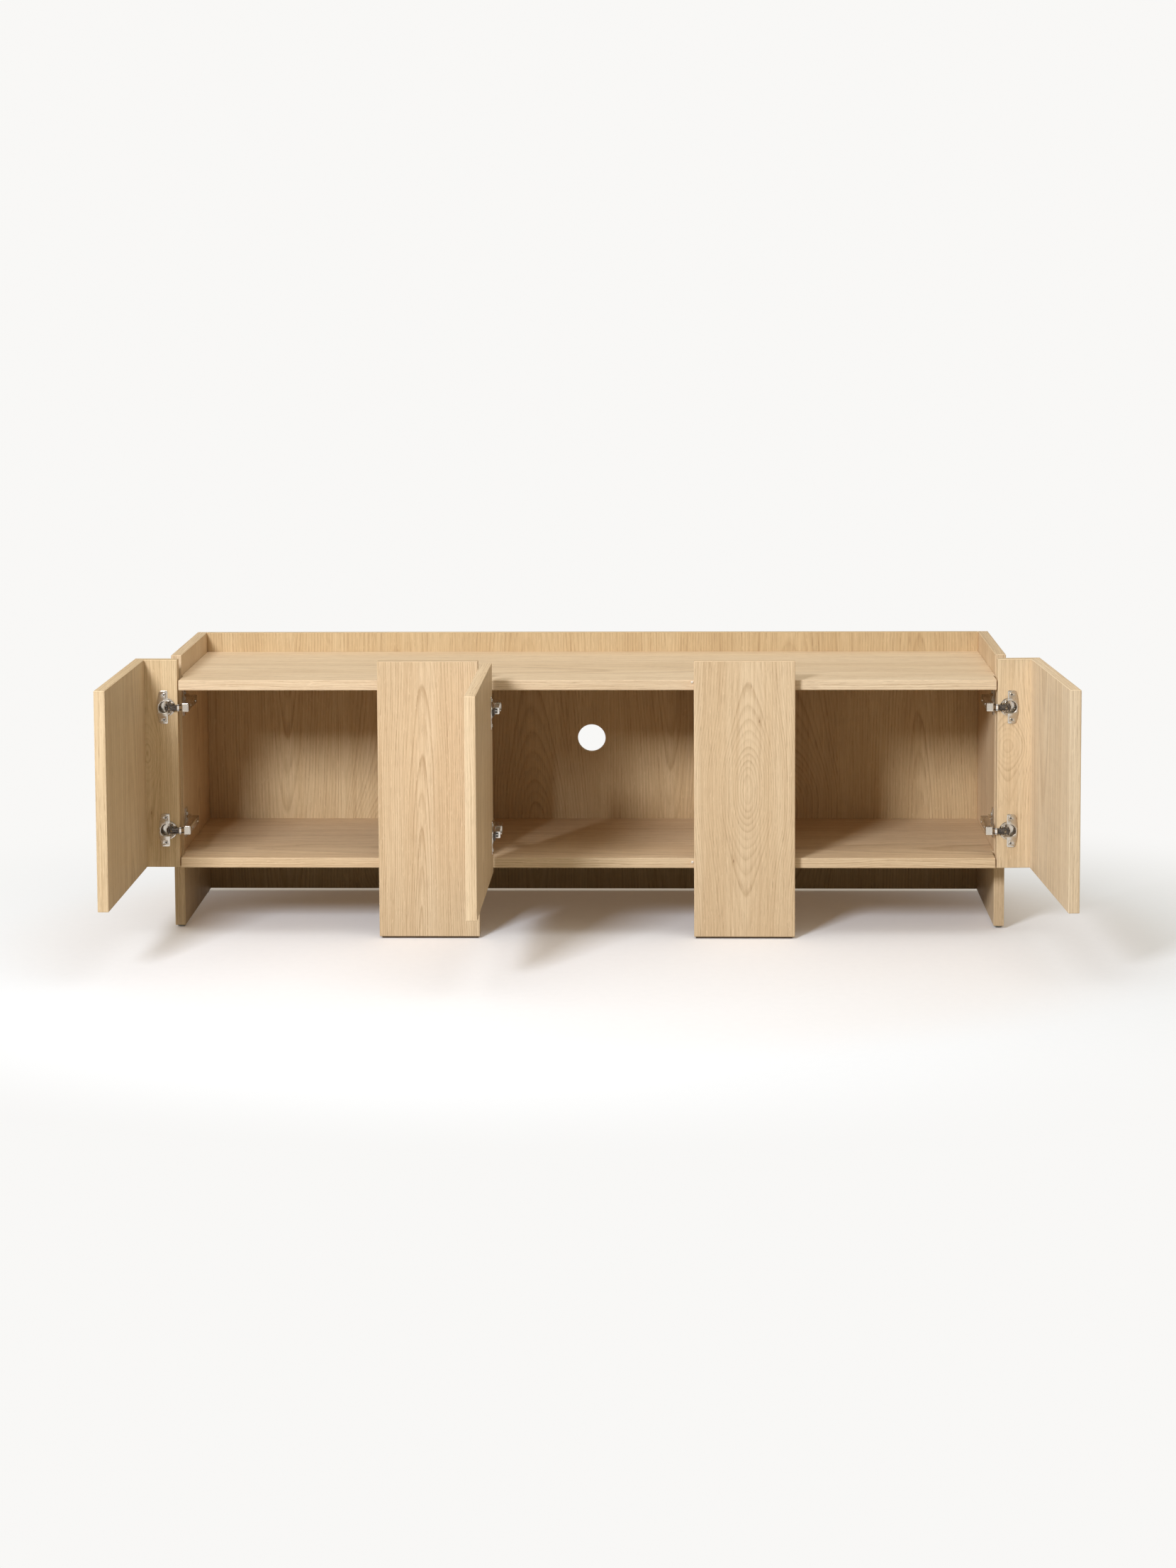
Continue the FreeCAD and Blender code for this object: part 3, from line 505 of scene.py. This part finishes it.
PIN_STAND, PIN_INSET, CUP_INSET = 0.004, 0.021, 0.022
LEVELS = (0.204, 0.441)
left_frame = pin_frame("left_door_hinge", -LEFT_OPEN, PIN_STAND, -PIN_INSET)
right_frame = pin_frame("right_door_hinge", RIGHT_OPEN, -PIN_STAND, -PIN_INSET)
swing = Vector(joints["middle_door_hinge"]["pos_m"])
spin = Matrix.Rotation(math.radians(-MIDDLE_OPEN), 4, "Z")
shut_corner = Vector((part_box("front_post_left")[1].x + 0.002, 0.020, 0.0))
swing.z = 0.0
middle_frame = Matrix.Translation(swing + spin @ (shut_corner - swing)) @ spin
MIRROR = Matrix.Diagonal((-1.0, 1.0, 1.0, 1.0))
SCALE = Matrix.Scale(MM, 4)
CUP_FRAMES = {
    "left": left_frame @ Matrix.Translation((0.0, -CUP_INSET, 0.0)),
    "right": right_frame @ Matrix.Translation((0.0, -CUP_INSET, 0.0)) @ MIRROR,
    "middle": middle_frame @ Matrix.Translation((CUP_INSET, 0.0, 0.0))
    @ Matrix.Rotation(math.radians(90), 4, "Z"),
}
DOOR_BODY = {"left": "left_corner_door", "right": "right_corner_door", "middle": "middle_leaf"}


def gather(build, places):
    """Build a part in millimetres once for each place and return them as one bmesh."""
    total = bmesh.new()
    for place in places:
        part = bmesh.new()
        build(part)
        part.transform(place @ SCALE)
        mesh = bpy.data.meshes.new("part")
        part.to_mesh(mesh)
        part.free()
        total.from_mesh(mesh)
        bpy.data.meshes.remove(mesh)
    return total


# flange screws: foot of the head, inset from the cup centre, half pitch, head radius and height
SCREW_X, SCREW_Y, HALF_PITCH, HEAD_RADIUS, HEAD_TALL = 1.1, -4.0, 24.0, 3.3, 1.2


def flange_screws(bm):
    for z in (HALF_PITCH, -HALF_PITCH):
        cross_head(bm, SCREW_X, SCREW_Y, z, HEAD_RADIUS, HEAD_TALL)
        shank(bm, 0.6, SCREW_Y, z, 1.7, 13.5)


def flange_recesses(bm):
    for z in (HALF_PITCH, -HALF_PITCH):
        recess_floor(bm, SCREW_X, SCREW_Y, z, HEAD_RADIUS, HEAD_TALL)


for hand, cup_frame in CUP_FRAMES.items():
    body = DOOR_BODY[hand]
    places = [cup_frame @ Matrix.Translation((0.0, 0.0, level)) for level in LEVELS]
    finish_piece(hand + "_cup_shells", gather(cup_body, places), body, nickel,
                 (hand + "_hinge_cups",), sharp=40)
    finish_piece(hand + "_cup_screw_heads", gather(flange_screws, places), body, zinc,
                 (hand + "_cup_screws",), sharp=30)
    # the recess floors are painted shade
    finish_piece(hand + "_cup_screw_recesses", gather(flange_recesses, places), body, recess_shade)


def channel(near, far, half, round_by=1.6, wall=1.3):
    """Cross-section of a channel open towards the side panel, as (u, z) points."""
    outer = arc(far - round_by, half - round_by, round_by, 90, 0, 4)
    outer += arc(far - round_by, round_by - half, round_by, 0, -90, 4)
    return ([(near, half)] + outer + [(near, -half), (near, wall - half),
                                      (far - wall, wall - half), (far - wall, half - wall),
                                      (near, half - wall)])


def rounded(near, far, half, inset, round_by=1.6):
    low, high, top = near + inset, far - inset, half - inset
    r = max(0.3, round_by - inset * 0.5)
    return (arc(high - r, top - r, r, 90, 0, 4) + arc(high - r, r - top, r, 0, -90, 4)
            + arc(low + r, r - top, r, 270, 180, 4) + arc(low + r, top - r, r, 180, 90, 4))


def corner_arm(bm):
    """Arm of a corner hinge: a capped nose, a drawn channel and a clip at the back."""
    nose, body, clip = (9.6, 23.0, 8.2), (9.6, 22.0, 7.6), (7.6, 22.0, 7.6)
    lofted(bm, [[(u, y, z) for u, z in channel(*shape)]
                for y, shape in ((24.0, nose), (36.2, nose), (37.0, body), (92.0, body),
                                 (92.8, clip), (132.5, clip), (134.4, (7.6, 21.0, 6.9)))])
    lofted(bm, [[(u, y, z) for u, z in rounded(*nose, inset)]
                for y, inset in ((25.4, 0.0), (23.3, 0.0), (22.7, 0.35), (22.5, 0.8),
                                 (22.5, 1.5), (22.8, 1.9))])
    turned(bm, [(21.8, 2.3), (22.5, 2.2), (22.8, 1.5), (22.85, 0.3)], (118.0, -1.5), 18)
    turned(bm, [(21.8, 3.2), (22.2, 3.1), (22.2, 2.2), (21.9, 2.0)], (58.0, 0.0), 20)


for hand, way in (("left", 1), ("right", -1)):
    low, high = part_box(hand + "_mounting_plates")
    face = low.x if way == 1 else high.x
    places = [Matrix.Translation((face, 0.0, level)) @ Matrix.Diagonal((way, 1.0, 1.0, 1.0))
              for level in LEVELS]
    finish_piece(hand + "_arm_channels", gather(corner_arm, places), "carcass", nickel,
                 (hand + "_hinge_arms",))

# plates and links keep the CAD outline with rolled edges
softened("middle_hinge_arms", 0.7, nickel, 3)
for hand in ("left", "right", "middle"):
    softened(hand + "_mounting_plates", 0.5, nickel)
    softened(hand + "_hinge_links", 0.25, dark_steel)
    softened(hand + "_plate_screws", 0.25, zinc)
softened("middle_swing_links", 0.4, bright)
softened("post_pads", 0.8, felt)

# yokes, webs and springs on the corner hinges' links, in the link's frame: X runs from the
# arm pin to the knuckle
YOKE = [(11.2, 4.6), (12.6, 3.7), (15.2, 3.9), (16.2, 4.8), (16.0, 6.4), (14.8, 7.2),
        (12.2, 7.0), (11.2, 6.0)]
WEB = [(18.0, -1.6), (27.0, -2.2), (28.4, -1.2), (28.4, 1.4), (18.0, 2.4), (17.2, 1.6),
       (17.2, -0.9)]
SPRING_RADIUS, SPRING_TALL, SPRING_WIRE, SPRING_TURNS = 0.0031, 0.0062, 0.00048, 5
STEPS_PER_TURN = 14


def spring(name, centre, level, body):
    curve = bpy.data.curves.new(name, "CURVE")
    curve.dimensions, curve.bevel_depth, curve.bevel_resolution = "3D", SPRING_WIRE, 2
    spline = curve.splines.new("POLY")
    count = SPRING_TURNS * STEPS_PER_TURN
    spline.points.add(count)
    for i, point in enumerate(spline.points):
        a = 2 * math.pi * i / STEPS_PER_TURN
        point.co = (centre.x + SPRING_RADIUS * math.cos(a),
                    centre.y + SPRING_RADIUS * math.sin(a),
                    level + SPRING_TALL * (i / count - 0.5), 1.0)
    obj = bpy.data.objects.new(name, curve)
    bpy.context.scene.collection.objects.link(obj)
    curve.materials.append(dark_steel)
    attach(obj, body)


for hand, way in (("left", 1), ("right", -1)):
    arm_pin = Vector(joints[hand + "_link_turn"]["pos_m"])
    knuckle = Vector(joints[hand + "_door_hinge"]["pos_m"])
    heading = math.atan2(knuckle.y - arm_pin.y, knuckle.x - arm_pin.x)
    places = [Matrix.Translation((arm_pin.x, arm_pin.y, level))
              @ Matrix.Rotation(heading, 4, "Z") for level in LEVELS]

    def yoke(bm, way=way):
        lofted(bm, [[(x, way * y, z) for x, y in YOKE] for z in (-6.2, -5.9, 5.9, 6.2)])

    def webs(bm, way=way):
        for base in (-5.0, 0.5):
            lofted(bm, [[(x, way * y, base + z) for x, y in WEB] for z in (0.0, 0.3, 4.2, 4.5)])

    body = hand + "_linkage"
    finish_piece(hand + "_link_yokes", gather(yoke, places), body, bright)
    finish_piece(hand + "_link_webs", gather(webs, places), body, dark_steel)
    for level, tag in zip(LEVELS, ("low", "high")):
        spring(hand + "_spring_" + tag, knuckle, level, body)

# slotted clip on the end of the middle hinge's swing links
low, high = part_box("middle_swing_links")
places = [Matrix.Translation(((low.x + high.x) / 2, low.y, level))
          @ Matrix.Rotation(math.radians(-90), 4, "Z") for level in LEVELS]


def clip_plate(bm):
    slots = [[(-3.6, 1.2 * way), (2.4, 1.2 * way), (2.4, 4.0 * way), (-3.6, 4.0 * way)]
             for way in (1, -1)]
    blank(bm, [rounded(-5.0, 6.4, 6.4, 0.0)] + slots, 0.5, 1.6)


def clip_back(bm):
    blank(bm, [rounded(-4.6, 6.0, 5.8, 0.0)], 0.0, 0.5, 0.1)


finish_piece("middle_clips", gather(clip_plate, places), "middle_linkage", bright)
# the clip back is painted shade, seen through the clip's slots
finish_piece("middle_clip_backs", gather(clip_back, places), "middle_linkage", recess_shade)

# glides with a bevelled foot and dome bumpers: profiles of (height, radius)
GLIDE = [(0.0, 6.6), (0.25, 7.2), (1.6, 7.7), (2.6, 7.7), (2.9, 7.3), (5.0, 7.3)]
DOME = [(0.0, 2.5), (0.7, 2.4), (1.3, 2.0), (1.7, 1.2), (1.8, 0.3)]
GLIDE_INSET = 0.008

low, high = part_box("side_glides")
places = [Matrix.Translation((x, y, 0.0)) @ Matrix.Rotation(math.radians(-90), 4, "Y")
          for x in (low.x + GLIDE_INSET, high.x - GLIDE_INSET)
          for y in (low.y + GLIDE_INSET, high.y - GLIDE_INSET)]
finish_piece("side_glide_feet", gather(lambda bm: turned(bm, GLIDE, steps=28), places),
             "carcass", glide, ("side_glides",))

low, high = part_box("door_bumpers")
radius = (high.x - low.x) / 2
places = [Matrix.Translation((low.x + radius, high.y, z))
          @ Matrix.Rotation(math.radians(-90), 4, "Z") for z in (low.z + radius, high.z - radius)]
finish_piece("door_bumper_domes", gather(lambda bm: turned(bm, DOME, steps=24), places),
             "carcass", bumper, ("door_bumpers",))

# whatever CAD hardware still shows gets its metal
for name, obj in frame["nodes"].items():
    if obj.hide_render or obj.data.materials and obj.data.materials[0].name.startswith("oak_"):
        continue
    paint(obj, dark_steel if name.endswith("_pins") else zinc if "screws" in name else nickel)

# --------------------------------------------------------- stage and lights
BACKDROP = (0.945, 0.937, 0.922)
# painted light: warm glow near the cabinet, standing in for light bounced off the oak into the floor's shadows
PAINTED_BOUNCE_GLOW = (0.93, 0.62, 0.40)


def floor():
    mesh = bpy.data.meshes.new("floor")
    size = 30.0
    mesh.from_pydata([(-size, -size, 0), (size, -size, 0), (size, size, 0), (-size, size, 0)],
                     [], [(0, 1, 2, 3)])
    obj = bpy.data.objects.new("floor", mesh)
    bpy.context.scene.collection.objects.link(obj)
    t = Tree("floor")
    where = t.add("TexCoord").outputs["Object"]
    squeezed = t.add("VectorMath", {"operation": "MULTIPLY"})
    t.put(squeezed.inputs[0], where)
    squeezed.inputs[1].default_value = (0.75, 1.0, 1.0)
    reach = t.add("VectorMath", {"operation": "LENGTH"})
    t.put(reach.inputs[0], squeezed.outputs[0])
    speck = t.noise(where, 60.0, 2.0, 0.5)
    t.set(Base_Color=t.mix(t.span(speck, 0.3, 0.7), (0.880, 0.905, 0.945), (0.890, 0.915, 0.955)))
    t.bsdf.inputs["Roughness"].default_value = 0.75
    t.bsdf.inputs["Specular IOR Level"].default_value = 0.12
    # near the cabinet the floor glows faintly with the painted warm bounce, lifting its cast shadows; further out
    # it glows as the even backdrop
    glow = t.add("Emission")
    t.put(glow.inputs["Color"], t.mix(t.span(reach.outputs["Value"], 0.45, 0.9), PAINTED_BOUNCE_GLOW,
                                      BACKDROP))
    fade = t.add("MixShader", Fac=t.span(reach.outputs["Value"], 0.5, 1.35, 0.12, 1.0))
    t.nt.links.new(t.bsdf.outputs[0], fade.inputs[1])
    t.nt.links.new(glow.outputs[0], fade.inputs[2])
    # the floor reads white, yet throws back only part of that on the cabinet
    muted = t.add("BsdfDiffuse")
    muted.inputs["Color"].default_value = (0.42, 0.39, 0.32, 1.0)
    path = t.add("LightPath").outputs
    seen = t.add("MixShader", Fac=t.math("MAXIMUM", path["Is Camera Ray"],
                                         path["Is Glossy Ray"]))
    t.nt.links.new(muted.outputs[0], seen.inputs[1])
    t.nt.links.new(fade.outputs[0], seen.inputs[2])
    t.nt.links.new(seen.outputs[0], t.out.inputs[0])
    paint(obj, t.mat)


floor()


def softbox(name, azimuth, elevation, distance, width, height, power, colour=(1.0, 1.0, 1.0),
            target=(0.0, 0.1, 0.25)):
    """Area light standing off the target; azimuth 0 is straight in front, negative to the left."""
    a, e = math.radians(azimuth), math.radians(elevation)
    data = bpy.data.lights.new(name, "AREA")
    data.shape = "RECTANGLE"
    data.size, data.size_y = width, height
    data.energy, data.color = power, colour
    lamp = bpy.data.objects.new(name, data)
    way = Vector((math.sin(a) * math.cos(e), -math.cos(a) * math.cos(e), math.sin(e)))
    lamp.location = Vector(target) + way * distance
    lamp.rotation_euler = (-way).to_track_quat("-Z", "Y").to_euler()
    bpy.context.scene.collection.objects.link(lamp)


softbox("key", -25.0, 27.2, 4.66, 0.9, 1.0, 172, (0.965, 1.0, 1.07))
softbox("top", 10, 80, 3.6, 3.2, 2.2, 38)

world = bpy.data.worlds.new("studio")
bpy.context.scene.world = world
world.use_nodes = True
nodes, links = world.node_tree.nodes, world.node_tree.links
nodes.clear()
sky = nodes.new("ShaderNodeBackground")
sky.inputs[0].default_value = (1.0, 0.93, 0.77, 1.0)
sky_at = nodes.new("ShaderNodeTexCoord")
sky_split = nodes.new("ShaderNodeSeparateXYZ")
sky_rise = nodes.new("ShaderNodeMapRange")
for key, value in (("From Min", -0.05), ("From Max", 0.9), ("To Min", 0.09), ("To Max", 0.62)):
    sky_rise.inputs[key].default_value = value
links.new(sky_at.outputs["Generated"], sky_split.inputs[0])
links.new(sky_split.outputs[2], sky_rise.inputs["Value"])
links.new(sky_rise.outputs[0], sky.inputs[1])
seen = nodes.new("ShaderNodeBackground")
seen.inputs[0].default_value = (*BACKDROP, 1.0)
ray = nodes.new("ShaderNodeLightPath")
pick = nodes.new("ShaderNodeMixShader")
out = nodes.new("ShaderNodeOutputWorld")
links.new(ray.outputs["Is Camera Ray"], pick.inputs[0])
links.new(sky.outputs[0], pick.inputs[1])
links.new(seen.outputs[0], pick.inputs[2])
links.new(pick.outputs[0], out.inputs[0])

# ------------------------------------------------------------------- camera
LENS_MM, SHIFT_X, SHIFT_Y = 69.114, -0.0006, -0.18354
YAW, PITCH, ROLL = (math.radians(v) for v in (1.5698, 5.1668, -0.2799))

looks = (Matrix.Rotation(ROLL, 3, "Z") @ Matrix.Rotation(PITCH, 3, "X")
         @ Matrix(((1, 0, 0), (0, 0, -1), (0, 1, 0))) @ Matrix.Rotation(-YAW, 3, "Z"))
camera = bpy.data.cameras.new("camera")
camera.lens = LENS_MM
camera.shift_x, camera.shift_y = SHIFT_X, SHIFT_Y
camera.clip_end = 200.0
view = bpy.data.objects.new("camera", camera)
view.matrix_world = Matrix.Translation((0.162027, -5.624289, 1.353912)) @ Matrix(
    (looks[0], -looks[1], -looks[2])).transposed().to_4x4()
bpy.context.scene.collection.objects.link(view)
bpy.context.scene.camera = view

scene = bpy.context.scene
scene.view_settings.view_transform = "Standard"
scene.view_settings.look = "None"
scene.cycles.use_denoising = True
scene.cycles.max_bounces = 10
scene.cycles.diffuse_bounces = 6
